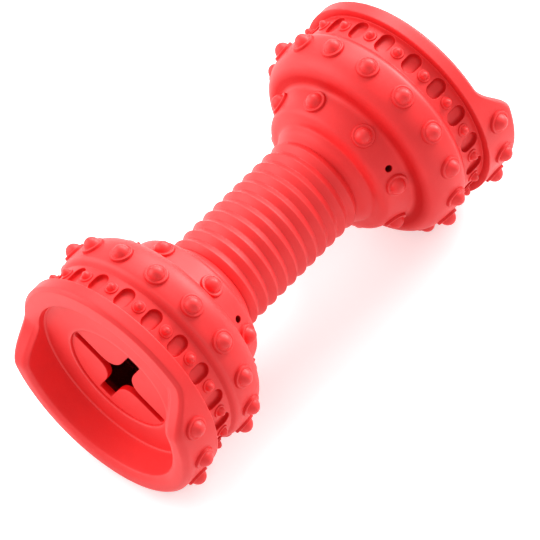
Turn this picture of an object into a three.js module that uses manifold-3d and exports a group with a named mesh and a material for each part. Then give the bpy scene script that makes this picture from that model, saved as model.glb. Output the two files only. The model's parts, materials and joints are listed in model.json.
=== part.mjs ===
// A rubber dumbbell chew toy: a ribbed grip between two studded heads. Each head holds an air chamber
// with a squeaker and, behind its scooped mouth, a treat chamber closed by a valve of four flaps.
// Millimetres, +X along the grip, +Z up, the toy lying on its side on the ground plane.

import * as THREE from 'three';
import { mergeVertices } from 'three/addons/utils/BufferGeometryUtils.js';
import Module from 'manifold-3d';

// Fit between pieces that are bonded or seated together
const CLEARANCE = 0.3;

// Ribbed grip, with a plug at each end
const RIB_COUNT = 11;
const RIB_PITCH = 4.77;
const RIB_RADIUS = 17.6;
const RIB_DEPTH = 1.4;
const RIB_CREST = 0.5;
const PLUG_STEP = 1.7;
const PLUG_LENGTH = 5.0;
const AIR_PASSAGE_RADIUS = 6.0;

// Lengths along each head, from the grip outwards
const NECK_LENGTH = 3.93;
const ROLL_LENGTH = 3.3;
const ROLL_LEAN = 0.3;
const CONE_LENGTH = 7.7;
const BULGE_WIDTH = 16.0;
const BULGE_BACK = 11.2;
const BULGE_FRONT = 4.3;
const CHANNEL_WIDTH = 8.8;
const RIM_WIDTH = 5.3;
const LIP_RISE = 9.2;

// Radii of each head, as steps from one to the next
const NECK_WALL = 1.7;
const NECK_RISE = 3.2;
const ROLL_RISE = 5.5;
const CONE_RISE = 2.3;
const CHANNEL_RADIUS = 35.5;
const BULGE_RISE = 1.9;
const FLANGE_RISE = 2.8;
const LIP_WIDTH = 7.1;

// Walls and inner ledges of each head
const SHOULDER_WALL = 5.0;
const PLUG_LEDGE = 2.0;
const CHAMBER_WALL = 5.5;
const SPIGOT_WALL = 2.7;
const SPIGOT_LENGTH = 5.7;
const SEAT_LEDGE = 4.0;

// Scooped mouth: the raised part of the lip spans whole stud pitches and ramps down to the low part
const RAISED_PITCHES = 9;
const RAMP_DEGREES = 24;
const LIP_ROUND = 1.6;
const LIP_FLAT = 3.6;
const MOUTH_CHAMFER = 1.2;
const MOUTH_DRAFT = 0.8;
const FLOOR_RECESS = 2.0;
const FLOOR_THICKNESS = 3.0;

// Studs and tread pockets
const STUDS_ROUND_BULGE = 16;
const STUDS_ROUND_CONE = 8;
const STUDS_ROUND_CHANNEL = 20;
const STUD = { collar: 3.8, collarHeight: 0.9, dome: 2.85, height: 3.2 };
const SMALL_STUD = { collar: 2.15, collarHeight: 0.5, dome: 1.55, height: 2.2 };
const STUD_ROOT = 1.5;
const BULGE_STUD_SETBACK = 7.2;
const CONE_STUD_SETBACK = 5.0;
const RIM_STUD_OFFSET = 7.0;
const SMALL_STUD_OFFSET = 4.0;
const POCKET_LENGTH = 7.8;
const POCKET_WIDTH = 5.2;
const POCKET_DEPTH = 2.2;
const VENT_RADIUS = 1.1;
const VENT_OFFSET_DEGREES = -105;

// Treat valve: a disc with a cross-shaped slot, cut into four flaps, a little below the floor around it
const VALVE_RADIUS = 19.6;
const VALVE_RECESS = 0.75;
const VALVE_NECK = 0.9;
const VALVE_FLANGE = 2.4;
const VALVE_FLANGE_THICKNESS = 1.8;
const SLIT_WIDTH = 3.6;
const SLIT_MARGIN = 0.7;
const WINDOW_WIDTH = 5.0;
const WINDOW_MARGIN = 2.4;
const FLARE_ALONG_SLIT = 6.3;
const FLARE_ALONG_WINDOW = 9.0;
const SLIT_OFFSET_DEGREES = -45;
const FLAP_BEVEL_DEGREES = 38;

// Squeaker, seated in the bulkhead between the two chambers
const BULKHEAD_THICKNESS = 3.0;
const SQUEAKER_RADIUS = 6.0;
const SQUEAKER_WALL = 1.6;
const SQUEAKER_FRONT = 1.0;
const SQUEAKER_REAR = 6.5;
const SQUEAKER_FLANGE = 2.5;
const SQUEAKER_FLANGE_THICKNESS = 1.5;
const REED_PLATE_THICKNESS = 2.0;
const REED_PLATE_SETBACK = 2.5;
const REED_SLOT_WIDTH = 2.0;
const REED_SLOT_LENGTH = 4.4;
const REED_WIDTH = 2.8;
const REED_LENGTH = 5.8;
const REED_THICKNESS = 0.4;
const REED_CLAMP = 0.4;

// Fineness of the facets
const ROUND_STEPS = 32;
const STUD_SIDES = 6;
const CURVE_STEPS = 4;
const SQUEAKER_STEPS = 16;

// Stations along a head, measured outwards from the middle of the grip
const gripEnd = RIB_COUNT * RIB_PITCH / 2;
const neckStart = gripEnd + CLEARANCE;
const rollStart = neckStart + NECK_LENGTH;
const coneStart = rollStart + ROLL_LENGTH;
const valley = coneStart + CONE_LENGTH;
const bulgeEnd = valley + BULGE_WIDTH;
const channelStart = bulgeEnd + CLEARANCE;
const rimStart = channelStart + CHANNEL_WIDTH;
const lowLip = rimStart + RIM_WIDTH;
const floorFront = lowLip - FLOOR_RECESS;
const floorBack = floorFront - FLOOR_THICKNESS;
const valveFront = floorFront - VALVE_RECESS;
const valveThickness = valveFront - floorBack;
const spigotEnd = channelStart - SPIGOT_LENGTH;
const bulkheadFront = spigotEnd - CLEARANCE;
const bulkheadBack = bulkheadFront - BULKHEAD_THICKNESS;
const seat = bulkheadBack - CLEARANCE;

// Radii that follow from the sizes above
const grooveRadius = RIB_RADIUS - RIB_DEPTH;
const plugRadius = grooveRadius - PLUG_STEP;
const socketRadius = plugRadius + CLEARANCE;
const neckRadius = socketRadius + NECK_WALL;
const rollRadius = neckRadius + NECK_RISE;
const coneStartRadius = rollRadius + ROLL_RISE;
const coneEndRadius = coneStartRadius + CONE_RISE;
const bulgeRadius = CHANNEL_RADIUS + BULGE_RISE;
const bandRadius = CHANNEL_RADIUS + FLANGE_RISE;
const chamberRadius = CHANNEL_RADIUS - CHAMBER_WALL;
const spigotRadius = chamberRadius + SPIGOT_WALL;
const seatRadius = chamberRadius + CLEARANCE;
const mouthRadius = bandRadius - LIP_WIDTH;
const valveHoleRadius = VALVE_RADIUS + CLEARANCE;
const squeakerHoleRadius = SQUEAKER_RADIUS + CLEARANCE;
const squeakerBore = SQUEAKER_RADIUS - SQUEAKER_WALL;

// Directions round the axis: two studs straddle the lowest line, and the raised lip is centred on one
const studPitch = 2 * Math.PI / STUDS_ROUND_BULGE;
const lowestDirection = -Math.PI / 2;
const raisedDirection = lowestDirection - studPitch / 2;

const wasm = await Module();
wasm.setup();

const RUBBER = new THREE.MeshStandardMaterial({ color: 0xf24747, roughness: 0.55, metalness: 0 });
const VALVE_RUBBER = new THREE.MeshStandardMaterial({ color: 0xf04242, roughness: 0.55, metalness: 0 });
const WHITE_PLASTIC = new THREE.MeshStandardMaterial({ color: 0xe6e4de, roughness: 0.4, metalness: 0 });
const REED_FILM = new THREE.MeshStandardMaterial({ color: 0xc9c6bb, roughness: 0.3, metalness: 0 });

const radians = THREE.MathUtils.degToRad;

// Volume enclosed by an indexed surface; negative when its faces point inwards
function signedVolume(position, index) {
  const a = new THREE.Vector3();
  const b = new THREE.Vector3();
  const c = new THREE.Vector3();
  let volume = 0;
  for (let i = 0; i < index.length; i += 3) {
    a.fromBufferAttribute(position, index[i]);
    b.fromBufferAttribute(position, index[i + 1]);
    c.fromBufferAttribute(position, index[i + 2]);
    volume += a.dot(b.cross(c)) / 6;
  }
  return volume;
}

// A closed surface as a solid: shared corners merged, collapsed triangles dropped, faces turned outwards
function solid(geometry) {
  const bare = geometry.clone();
  bare.deleteAttribute('normal');
  bare.deleteAttribute('uv');
  const merged = mergeVertices(bare);
  const corners = [];
  const all = merged.index.array;
  for (let i = 0; i < all.length; i += 3) {
    const [a, b, c] = [all[i], all[i + 1], all[i + 2]];
    if (a !== b && b !== c && c !== a) {
      corners.push(a, b, c);
    }
  }
  if (signedVolume(merged.attributes.position, corners) < 0) {
    corners.reverse();
  }
  return new wasm.Manifold(new wasm.Mesh({
    numProp: 3,
    vertProperties: new Float32Array(merged.attributes.position.array),
    triVerts: new Uint32Array(corners),
  }));
}

// A named mesh of a finished solid
function piece(name, body, material) {
  const { vertProperties, triVerts } = body.getMesh();
  const geometry = new THREE.BufferGeometry();
  geometry.setAttribute('position', new THREE.BufferAttribute(new Float32Array(vertProperties), 3));
  geometry.setIndex(new THREE.BufferAttribute(new Uint32Array(triVerts), 1));
  geometry.computeVertexNormals();
  const mesh = new THREE.Mesh(geometry, material);
  mesh.name = name;
  return mesh;
}

// An outline of [station, radius] corners turned about the X axis
function turned(outline, steps = ROUND_STEPS) {
  const points = outline.map(([station, radius]) => new THREE.Vector2(radius, station));
  const geometry = new THREE.LatheGeometry(points, steps);
  geometry.rotateZ(-Math.PI / 2);
  return solid(geometry);
}

// A closed outline, turned into a ring
function turnedRing(outline, steps = ROUND_STEPS) {
  return turned([...outline, outline[0]], steps);
}

// A ring whose closed outline changes with the angle round the X axis
function sweptRing(outlineAt) {
  const positions = [];
  const corners = [];
  const count = outlineAt(0).length;
  for (let i = 0; i < ROUND_STEPS; i += 1) {
    const angle = 2 * Math.PI * i / ROUND_STEPS;
    for (const [station, radius] of outlineAt(angle)) {
      positions.push(station, radius * Math.cos(angle), radius * Math.sin(angle));
    }
    const next = (i + 1) % ROUND_STEPS;
    for (let j = 0; j < count; j += 1) {
      const k = (j + 1) % count;
      corners.push(i * count + j, next * count + j, next * count + k);
      corners.push(i * count + j, next * count + k, i * count + k);
    }
  }
  const geometry = new THREE.BufferGeometry();
  geometry.setAttribute('position', new THREE.Float32BufferAttribute(positions, 3));
  geometry.setIndex(corners);
  return solid(geometry);
}

// A prism of a flat outline, from the plane z = from to the plane z = to
function prism(outline, from, to) {
  const shape = new THREE.Shape(outline.map(([x, y]) => new THREE.Vector2(x, y)));
  const geometry = new THREE.ExtrudeGeometry(shape, { depth: to - from, bevelEnabled: false });
  geometry.translate(0, 0, from);
  return geometry;
}

// A plain box between two corners
function box(low, high) {
  const size = high.map((value, i) => value - low[i]);
  const geometry = new THREE.BoxGeometry(...size);
  geometry.translate(...low.map((value, i) => value + size[i] / 2));
  return solid(geometry);
}

// Stands a shape made along +Y on the head's surface, leaning back towards the grip by the tilt
function onHead(geometry, station, radius, angle, tilt = 0) {
  const radial = new THREE.Vector3(0, Math.cos(angle), Math.sin(angle));
  const axial = new THREE.Vector3(1, 0, 0);
  const up = radial.clone().multiplyScalar(Math.cos(tilt)).addScaledVector(axial, -Math.sin(tilt));
  const along = axial.clone().multiplyScalar(Math.cos(tilt)).addScaledVector(radial, Math.sin(tilt));
  const side = along.clone().cross(up);
  const place = new THREE.Matrix4().makeBasis(along, up, side);
  place.setPosition(radial.multiplyScalar(radius).addScaledVector(axial, station));
  return solid(geometry.clone().applyMatrix4(place));
}

// A stud along +Y: a low collar with a dome on it, its root sunk below y = 0
function studShape({ collar, collarHeight, dome, height }) {
  const domeRise = height - collarHeight;
  const crown = new THREE.Vector2(dome * Math.SQRT1_2, collarHeight + domeRise * Math.SQRT1_2);
  const outline = [
    new THREE.Vector2(0, -STUD_ROOT),
    new THREE.Vector2(collar, -STUD_ROOT),
    new THREE.Vector2(collar, collarHeight),
    new THREE.Vector2(dome, collarHeight),
    crown,
    new THREE.Vector2(0, height),
  ];
  return new THREE.LatheGeometry(outline, STUD_SIDES);
}

// A slot with round ends, long along X, sunk from above y = 0 to its depth
function pocketShape() {
  const radius = POCKET_WIDTH / 2;
  const reach = POCKET_LENGTH / 2 - radius;
  const shape = new THREE.Shape();
  shape.absarc(reach, 0, radius, -Math.PI / 2, Math.PI / 2);
  shape.absarc(-reach, 0, radius, Math.PI / 2, 3 * Math.PI / 2);
  const settings = { depth: POCKET_DEPTH + FLANGE_RISE, bevelEnabled: false, curveSegments: CURVE_STEPS };
  const geometry = new THREE.ExtrudeGeometry(shape, settings);
  geometry.translate(0, 0, -POCKET_DEPTH);
  geometry.rotateX(-Math.PI / 2);
  return geometry;
}

// Corners of a quadratic curve, without its first point
function curveCorners(start, control, end) {
  const curve = new THREE.QuadraticBezierCurve(
    new THREE.Vector2(...start), new THREE.Vector2(...control), new THREE.Vector2(...end));
  return curve.getPoints(CURVE_STEPS).slice(1).map((point) => [point.x, point.y]);
}

// Grip: an even zigzag of ribs, two plugs and an air passage right through
function grip() {
  const outline = [];
  const plugEnd = gripEnd + PLUG_LENGTH;
  outline.push([-plugEnd, AIR_PASSAGE_RADIUS], [-plugEnd, plugRadius], [-gripEnd, plugRadius]);
  for (let i = 0; i < RIB_COUNT; i += 1) {
    const middle = -gripEnd + (i + 0.5) * RIB_PITCH;
    outline.push([middle - RIB_PITCH / 2, grooveRadius]);
    outline.push([middle - RIB_CREST / 2, RIB_RADIUS], [middle + RIB_CREST / 2, RIB_RADIUS]);
  }
  outline.push([gripEnd, grooveRadius], [gripEnd, plugRadius]);
  outline.push([plugEnd, plugRadius], [plugEnd, AIR_PASSAGE_RADIUS]);
  return turnedRing(outline);
}

// Shoulder: neck ring, rounded roll, cone and bulge over the air chamber, with sockets at both ends
function shoulder(at) {
  const coneSlope = CONE_RISE / CONE_LENGTH;
  const coneTilt = Math.atan(coneSlope);
  const plugStop = gripEnd + PLUG_LENGTH + CLEARANCE;
  const rollBack = ROLL_LENGTH - ROLL_LEAN;
  const rollCorner = [coneStart - rollBack, coneStartRadius - coneSlope * rollBack];
  const outside = [
    [neckStart, neckRadius],
    [rollStart, rollRadius],
    ...curveCorners([rollStart, rollRadius], rollCorner, [coneStart, coneStartRadius]),
    [valley, coneEndRadius],
    ...curveCorners([valley, coneEndRadius], [valley, bulgeRadius], [valley + BULGE_BACK, bulgeRadius]),
    [bulgeEnd - BULGE_FRONT, bulgeRadius],
    ...curveCorners([bulgeEnd - BULGE_FRONT, bulgeRadius], [bulgeEnd, bulgeRadius],
      [bulgeEnd, CHANNEL_RADIUS]),
  ];
  const inside = [
    [bulgeEnd, spigotRadius + CLEARANCE],
    [spigotEnd - CLEARANCE, spigotRadius + CLEARANCE],
    [spigotEnd - CLEARANCE, seatRadius],
    [seat, seatRadius],
    [seat, seatRadius - SEAT_LEDGE],
    [valley, coneEndRadius - SHOULDER_WALL],
    [plugStop + PLUG_LEDGE, coneStartRadius - SHOULDER_WALL],
    [plugStop + PLUG_LEDGE, AIR_PASSAGE_RADIUS],
    [plugStop, AIR_PASSAGE_RADIUS],
    [plugStop, socketRadius],
    [neckStart, socketRadius],
  ];
  let body = turnedRing([...outside, ...inside]);
  const stud = studShape(STUD);
  const bulgeStation = bulgeEnd - BULGE_STUD_SETBACK;
  for (let i = 0; i < STUDS_ROUND_BULGE; i += 1) {
    body = body.add(onHead(stud, bulgeStation, bulgeRadius, at(2 * Math.PI * i / STUDS_ROUND_BULGE)));
  }
  const coneStation = valley - CONE_STUD_SETBACK;
  const coneRadius = coneEndRadius - coneSlope * CONE_STUD_SETBACK;
  for (let i = 0; i < STUDS_ROUND_CONE; i += 1) {
    const angle = at(2 * Math.PI * i / STUDS_ROUND_CONE);
    body = body.add(onHead(stud, coneStation, coneRadius, angle, coneTilt));
  }
  const drillLength = 3 * SHOULDER_WALL;
  const drill = new THREE.CylinderGeometry(VENT_RADIUS, VENT_RADIUS, drillLength, STUD_SIDES);
  return body.subtract(onHead(drill, coneStation, coneRadius, at(radians(VENT_OFFSET_DEGREES)), coneTilt));
}

// How far the lip is raised at an offset from its middle: 1 over most of its span, 0 on the low part
function lipLift(offset) {
  const distance = Math.abs(Math.atan2(Math.sin(offset), Math.cos(offset)));
  const half = RAISED_PITCHES * studPitch / 2;
  const ramp = radians(RAMP_DEGREES);
  return THREE.MathUtils.smoothstep(half + ramp / 2 - distance, 0, ramp);
}

// End cup: treat chamber wall with its tread channel, rim flange, scooped lip and floor
function endCup(at) {
  const middle = at(0);
  const outlineAt = (angle) => {
    const lift = lipLift(angle - middle);
    const lip = lowLip + LIP_RISE * lift;
    const flatInner = bandRadius - LIP_ROUND - LIP_FLAT;
    return [
      [spigotEnd, chamberRadius],
      [spigotEnd, spigotRadius],
      [channelStart, spigotRadius],
      [channelStart, CHANNEL_RADIUS],
      [rimStart, CHANNEL_RADIUS],
      [rimStart, bandRadius],
      [lip - LIP_ROUND, bandRadius],
      [lip - LIP_ROUND * (1 - Math.SQRT1_2), bandRadius - LIP_ROUND * (1 - Math.SQRT1_2)],
      [lip, bandRadius - LIP_ROUND],
      [lip, flatInner],
      [lip - MOUTH_CHAMFER * lift, mouthRadius],
      [floorFront, mouthRadius - MOUTH_DRAFT],
      [floorFront, valveHoleRadius],
      [floorBack, valveHoleRadius],
      [floorBack, chamberRadius],
    ];
  };
  let body = sweptRing(outlineAt);
  const stud = studShape(STUD);
  const rimStation = rimStart + RIM_STUD_OFFSET;
  for (let i = 0; i < RAISED_PITCHES; i += 1) {
    const offset = (i - (RAISED_PITCHES - 1) / 2) * studPitch;
    body = body.add(onHead(stud, rimStation, bandRadius, at(offset)));
  }
  const smallStud = studShape(SMALL_STUD);
  const pocket = pocketShape();
  const smallStation = channelStart + SMALL_STUD_OFFSET;
  const pocketStation = channelStart + CHANNEL_WIDTH / 2;
  for (let i = 0; i < STUDS_ROUND_CHANNEL; i += 1) {
    const pitch = 2 * Math.PI / STUDS_ROUND_CHANNEL;
    body = body.subtract(onHead(pocket, pocketStation, CHANNEL_RADIUS, at(i * pitch)));
    body = body.add(onHead(smallStud, smallStation, CHANNEL_RADIUS, at((i + 0.5) * pitch)));
  }
  return body;
}

// Corners of the valve's opening in one quarter: the tip of the slit and the corner of the window
const slitTip = [VALVE_RADIUS - SLIT_MARGIN, SLIT_WIDTH / 2];
const windowCorner = [WINDOW_WIDTH / 2, VALVE_RADIUS - WINDOW_MARGIN];

// The four quarters of the cross-shaped slot, as signs along the slit and along the window
const QUARTERS = [[1, 1], [-1, 1], [-1, -1], [1, -1]];

// Valve ring: the rim of the treat valve, with a flange that seats behind the cup's floor
function valveRing(slitAngle) {
  const flangeFront = floorBack - CLEARANCE;
  const flangeBack = flangeFront - VALVE_FLANGE_THICKNESS;
  const ringInner = VALVE_RADIUS - VALVE_NECK;
  const disc = turned([
    [floorBack, 0],
    [floorBack, ringInner],
    [flangeBack, ringInner],
    [flangeBack, VALVE_RADIUS + VALVE_FLANGE],
    [flangeFront, VALVE_RADIUS + VALVE_FLANGE],
    [flangeFront, VALVE_RADIUS],
    [valveFront, VALVE_RADIUS],
    [valveFront, 0],
  ]);
  const [tip, tipHalf] = slitTip;
  const [windowHalf, windowEnd] = windowCorner;
  const opening = [
    [tip, tipHalf], [windowHalf, windowEnd], [-windowHalf, windowEnd], [-tip, tipHalf],
    [-tip, -tipHalf], [-windowHalf, -windowEnd], [windowHalf, -windowEnd], [tip, -tipHalf],
  ];
  const cutter = prism(opening, flangeBack - FLOOR_THICKNESS, floorFront + FLOOR_THICKNESS);
  const alongSlit = new THREE.Vector3(0, Math.cos(slitAngle), Math.sin(slitAngle));
  const outwards = new THREE.Vector3(1, 0, 0);
  const alongWindow = outwards.clone().cross(alongSlit);
  cutter.applyMatrix4(new THREE.Matrix4().makeBasis(alongSlit, alongWindow, outwards));
  return disc.subtract(solid(cutter));
}

// One flap in a hinge group: local X runs along its root, Y towards the slot's middle, Z outwards
function flap(name, slitAngle, [signSlit, signWindow]) {
  const outwards = new THREE.Vector3(1, 0, 0);
  const alongSlit = new THREE.Vector3(0, Math.cos(slitAngle), Math.sin(slitAngle));
  const alongWindow = outwards.clone().cross(alongSlit);
  const spot = ([s, w]) => alongSlit.clone().multiplyScalar(signSlit * s)
    .addScaledVector(alongWindow, signWindow * w);
  const rootStart = spot(slitTip);
  const rootEnd = spot(windowCorner);
  const root = rootEnd.clone().sub(rootStart).normalize();
  const inwards = outwards.clone().cross(root);
  if (inwards.dot(rootStart) > 0) {
    inwards.negate();
  }
  const axis = inwards.clone().cross(outwards);
  const middle = rootStart.clone().add(rootEnd).multiplyScalar(0.5).addScaledVector(inwards, CLEARANCE);

  // Outline: along the slit, round the flared inner corner, along the window, and across the root
  const tipHalf = slitTip[1];
  const windowHalf = windowCorner[0];
  const flare = new THREE.QuadraticBezierCurve(
    new THREE.Vector2(windowHalf + FLARE_ALONG_SLIT, tipHalf),
    new THREE.Vector2(windowHalf, tipHalf),
    new THREE.Vector2(windowHalf, tipHalf + FLARE_ALONG_WINDOW));
  const corners = [slitTip, ...flare.getPoints(CURVE_STEPS).map((p) => [p.x, p.y]), windowCorner];
  const outline = corners.map((corner) => {
    const offset = spot(corner).sub(middle);
    return [offset.dot(axis), offset.dot(inwards)];
  });
  const plan = prism(outline, -valveThickness, valveThickness);

  // Section: full thickness, bevelled on both faces to a thin edge on the hinge line
  const half = valveThickness / 2;
  const bevel = half * Math.tan(radians(FLAP_BEVEL_DEGREES));
  const reach = VALVE_RADIUS;
  const profile = [[0, 0], [bevel, half], [reach, half], [reach, -half], [bevel, -half]];
  const section = prism(profile, -reach, reach);
  section.applyMatrix4(new THREE.Matrix4().makeBasis(
    new THREE.Vector3(0, 1, 0), new THREE.Vector3(0, 0, 1), new THREE.Vector3(1, 0, 0)));

  const hinge = new THREE.Group();
  hinge.name = `${name}_hinge`;
  hinge.position.copy(middle).setX(valveFront - half);
  hinge.quaternion.setFromRotationMatrix(new THREE.Matrix4().makeBasis(axis, inwards, outwards));
  hinge.add(piece(name, solid(plan).intersect(solid(section)), VALVE_RUBBER));
  return hinge;
}

// Bulkhead: the disc between the air chamber and the treat chamber, with a hole for the squeaker
function bulkhead() {
  return turnedRing([
    [bulkheadBack, squeakerHoleRadius], [bulkheadBack, chamberRadius],
    [bulkheadFront, chamberRadius], [bulkheadFront, squeakerHoleRadius],
  ]);
}

// Squeaker barrel: a short tube through the bulkhead, with a flange on the air chamber side
function squeakerBarrel() {
  const front = bulkheadFront + SQUEAKER_FRONT;
  const flangeBack = seat - SQUEAKER_FLANGE_THICKNESS;
  const rear = seat - SQUEAKER_REAR;
  const flangeRadius = SQUEAKER_RADIUS + SQUEAKER_FLANGE;
  return turnedRing([
    [rear, squeakerBore], [rear, SQUEAKER_RADIUS], [flangeBack, SQUEAKER_RADIUS],
    [flangeBack, flangeRadius], [seat, flangeRadius], [seat, SQUEAKER_RADIUS],
    [front, SQUEAKER_RADIUS], [front, squeakerBore],
  ], SQUEAKER_STEPS);
}

// Reed plate: a plug in the barrel with a slot that the reed beats over
const reedPlateFront = seat - REED_PLATE_SETBACK;
function reedPlate() {
  const back = reedPlateFront - REED_PLATE_THICKNESS;
  const radius = squeakerBore - CLEARANCE;
  const outline = [[back, 0], [back, radius], [reedPlateFront, radius], [reedPlateFront, 0]];
  const plug = turned(outline, SQUEAKER_STEPS);
  const slot = box(
    [back - REED_PLATE_THICKNESS, -REED_SLOT_WIDTH / 2, -REED_SLOT_LENGTH / 2],
    [reedPlateFront + REED_PLATE_THICKNESS, REED_SLOT_WIDTH / 2, REED_SLOT_LENGTH / 2]);
  return plug.subtract(slot);
}

// Reed in a hinge group at its clamped end: local X across the reed, Y along it, Z off the plate
function reed(name) {
  const hinge = new THREE.Group();
  hinge.name = `${name}_hinge`;
  hinge.position.set(reedPlateFront + CLEARANCE + REED_THICKNESS / 2, 0, REED_LENGTH / 2 - REED_CLAMP);
  const across = new THREE.Vector3(0, -1, 0);
  const along = new THREE.Vector3(0, 0, -1);
  const off = across.clone().cross(along);
  hinge.quaternion.setFromRotationMatrix(new THREE.Matrix4().makeBasis(across, along, off));
  const tongue = box(
    [-REED_WIDTH / 2, -REED_CLAMP, -REED_THICKNESS / 2],
    [REED_WIDTH / 2, REED_LENGTH - REED_CLAMP, REED_THICKNESS / 2]);
  hinge.add(piece(name, tongue, REED_FILM));
  return hinge;
}

// One head, built outwards along +X; hand is 1 or -1, so that the two heads are mirror images
function head(name, hand) {
  const middle = hand > 0 ? raisedDirection : Math.PI - raisedDirection;
  const at = (offset) => middle + hand * offset;
  const slitAngle = at(radians(SLIT_OFFSET_DEGREES));
  const group = new THREE.Group();
  group.add(piece(`${name}_shoulder`, shoulder(at), RUBBER));
  group.add(piece(`${name}_end_cup`, endCup(at), RUBBER));
  group.add(piece(`${name}_valve_ring`, valveRing(slitAngle), VALVE_RUBBER));
  QUARTERS.forEach((quarter, i) => group.add(flap(`${name}_flap_${i + 1}`, slitAngle, quarter)));
  group.add(piece(`${name}_bulkhead`, bulkhead(), RUBBER));
  group.add(piece(`${name}_squeaker_barrel`, squeakerBarrel(), WHITE_PLASTIC));
  group.add(piece(`${name}_reed_plate`, reedPlate(), WHITE_PLASTIC));
  group.add(reed(`${name}_reed`));
  return group;
}

const toy = new THREE.Group();
const farHead = head('far', 1);
const nearHead = head('near', -1);
nearHead.rotation.z = Math.PI;
toy.add(piece('grip', grip(), RUBBER), farHead, nearHead);

// The lowest studs rest on the ground plane
toy.position.z = -new THREE.Box3().setFromObject(toy, true).min.z;

export default toy;
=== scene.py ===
# %% [markdown]
# # A rubber dumbbell chew toy
# The real thing is moulded from soft coral rubber: a ribbed grip between two studded heads. Each head
# ends in a scooped mouth with a slotted valve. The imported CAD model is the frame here: it says where
# everything is, and this lesson puts a finer rubber skin on each of its pieces.

# %% Load the frame
import json

import bmesh
import bpy
import numpy as np
from mathutils import Matrix, Vector


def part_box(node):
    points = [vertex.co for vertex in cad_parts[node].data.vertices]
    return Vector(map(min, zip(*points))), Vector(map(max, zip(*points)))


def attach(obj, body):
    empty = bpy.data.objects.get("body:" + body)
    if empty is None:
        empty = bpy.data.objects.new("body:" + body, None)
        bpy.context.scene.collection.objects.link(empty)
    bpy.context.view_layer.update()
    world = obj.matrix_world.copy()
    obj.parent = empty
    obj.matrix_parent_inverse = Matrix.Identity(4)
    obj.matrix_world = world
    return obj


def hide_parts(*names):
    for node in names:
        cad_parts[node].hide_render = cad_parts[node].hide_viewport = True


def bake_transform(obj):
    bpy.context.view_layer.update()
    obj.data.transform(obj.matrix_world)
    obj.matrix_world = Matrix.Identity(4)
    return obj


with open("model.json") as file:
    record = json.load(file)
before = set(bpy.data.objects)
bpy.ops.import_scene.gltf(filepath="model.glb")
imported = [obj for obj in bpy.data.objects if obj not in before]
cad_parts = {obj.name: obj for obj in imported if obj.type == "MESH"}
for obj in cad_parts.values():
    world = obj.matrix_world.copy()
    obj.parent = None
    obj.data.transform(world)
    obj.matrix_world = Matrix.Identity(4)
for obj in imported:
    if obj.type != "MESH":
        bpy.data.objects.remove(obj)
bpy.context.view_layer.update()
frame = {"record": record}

# %% [markdown]
# ## Camera
# The picture looks down on the toy from in front of its near head, through a long lens that hardly
# shows perspective. A camera can be aimed by hand, but here its place and its directions come from a
# fit of the studs, so they are written down, and the camera gets them as the columns of its matrix.

# %% Camera at the photograph's view
EYE = Vector((-0.4857, -0.6036, 0.9440))
FORWARD = Vector((0.40300, 0.50191, -0.76530)).normalized()
RIGHT = Vector((0.64807, -0.74694, -0.14861)).normalized()
LENS_MM = 250.06
SENSOR_MM = 36

camera = bpy.data.objects.new("camera", bpy.data.cameras.new("camera"))
camera.data.lens = LENS_MM
camera.data.sensor_width = SENSOR_MM
turn = Matrix((RIGHT, RIGHT.cross(FORWARD), -FORWARD)).transposed()
camera.matrix_world = Matrix.Translation(EYE) @ turn.to_4x4()
bpy.context.collection.objects.link(camera)
bpy.context.scene.camera = camera
bpy.context.scene.view_settings.view_transform = "Standard"
print("camera at", tuple(EYE), "with a lens of", LENS_MM, "mm")

# %% [markdown]
# ## Shader maths as Python
# A material is a graph of nodes. Adding them one by one hides what they work out, so here they are
# written as expressions: a Wire is one socket of the graph, arithmetic on wires adds Math nodes, and
# every other node comes from Graph.node. The world has such a graph too.

# %% A small language for node graphs
class Wire:
    """One output socket; +, - and * with a number or another wire add a Math node."""

    def __init__(self, graph, socket):
        self.graph, self.socket = graph, socket

    def math(self, operation, first, second):
        return self.graph.node("ShaderNodeMath", {"operation": operation}, {0: first, 1: second})

    def __add__(self, other):
        return self.math("ADD", self, other)

    def __sub__(self, other):
        return self.math("SUBTRACT", self, other)

    def __rsub__(self, other):
        return self.math("SUBTRACT", other, self)

    def __mul__(self, other):
        return self.math("MULTIPLY", self, other)

    __radd__, __rmul__ = __add__, __mul__


class Graph:
    """The nodes of a material or of the world, without those that it starts with."""

    def __init__(self, owner):
        owner.use_nodes = True
        self.tree = owner.node_tree
        self.tree.nodes.clear()

    def node(self, kind, settings=None, sockets=None, output=0):
        """Adds a node: its settings first, then a value or a wire for each named socket."""
        node = self.tree.nodes.new(kind)
        for key, value in (settings or {}).items():
            setattr(node, key, value)
        for key, value in (sockets or {}).items():
            if isinstance(value, Wire):
                self.tree.links.new(value.socket, node.inputs[key])
            else:
                node.inputs[key].default_value = value
        return Wire(self, node.outputs[output]) if node.outputs else None


print("node graphs are written with", Wire.__name__, "and", Graph.__name__)

# %% [markdown]
# ## Rubber
# The toy is satin moulded rubber of one strong coral red. It is never one flat colour: the pigment
# mottles softly, and the skin has a fine grain from the mould. Light and shade are painted on too: crests
# and fine edges are painted paler as a painted highlight, hollows are painted a deeper red and made dull as
# painted shade, and the inside of the toy is painted darker still as painted shade. A painted picture
# could hold all this, but here each point of a mesh stores its painted light, and the nodes read it: 1 is
# a painted highlight, 0 plain, -1 painted shade in a hollow and -2 darker painted shade inside.

# %% Rubber material
RUBBER_RED = (0.88, 0.026, 0.027, 1)
# Deeper red for the soft mottle and for painted shade in hollows.
RUBBER_MOTTLE_AND_SHADE = (0.48, 0.008, 0.009, 1)
# The valve's deeper red, for the soft mottle and for painted shade on the slot's walls and edges.
VALVE_MOTTLE_AND_SHADE = (0.90, 0.002, 0.003, 1)
# Dark red painted inside the toy as painted shade.
RUBBER_INSIDE_SHADE = (0.22, 0.003, 0.003, 1)
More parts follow.
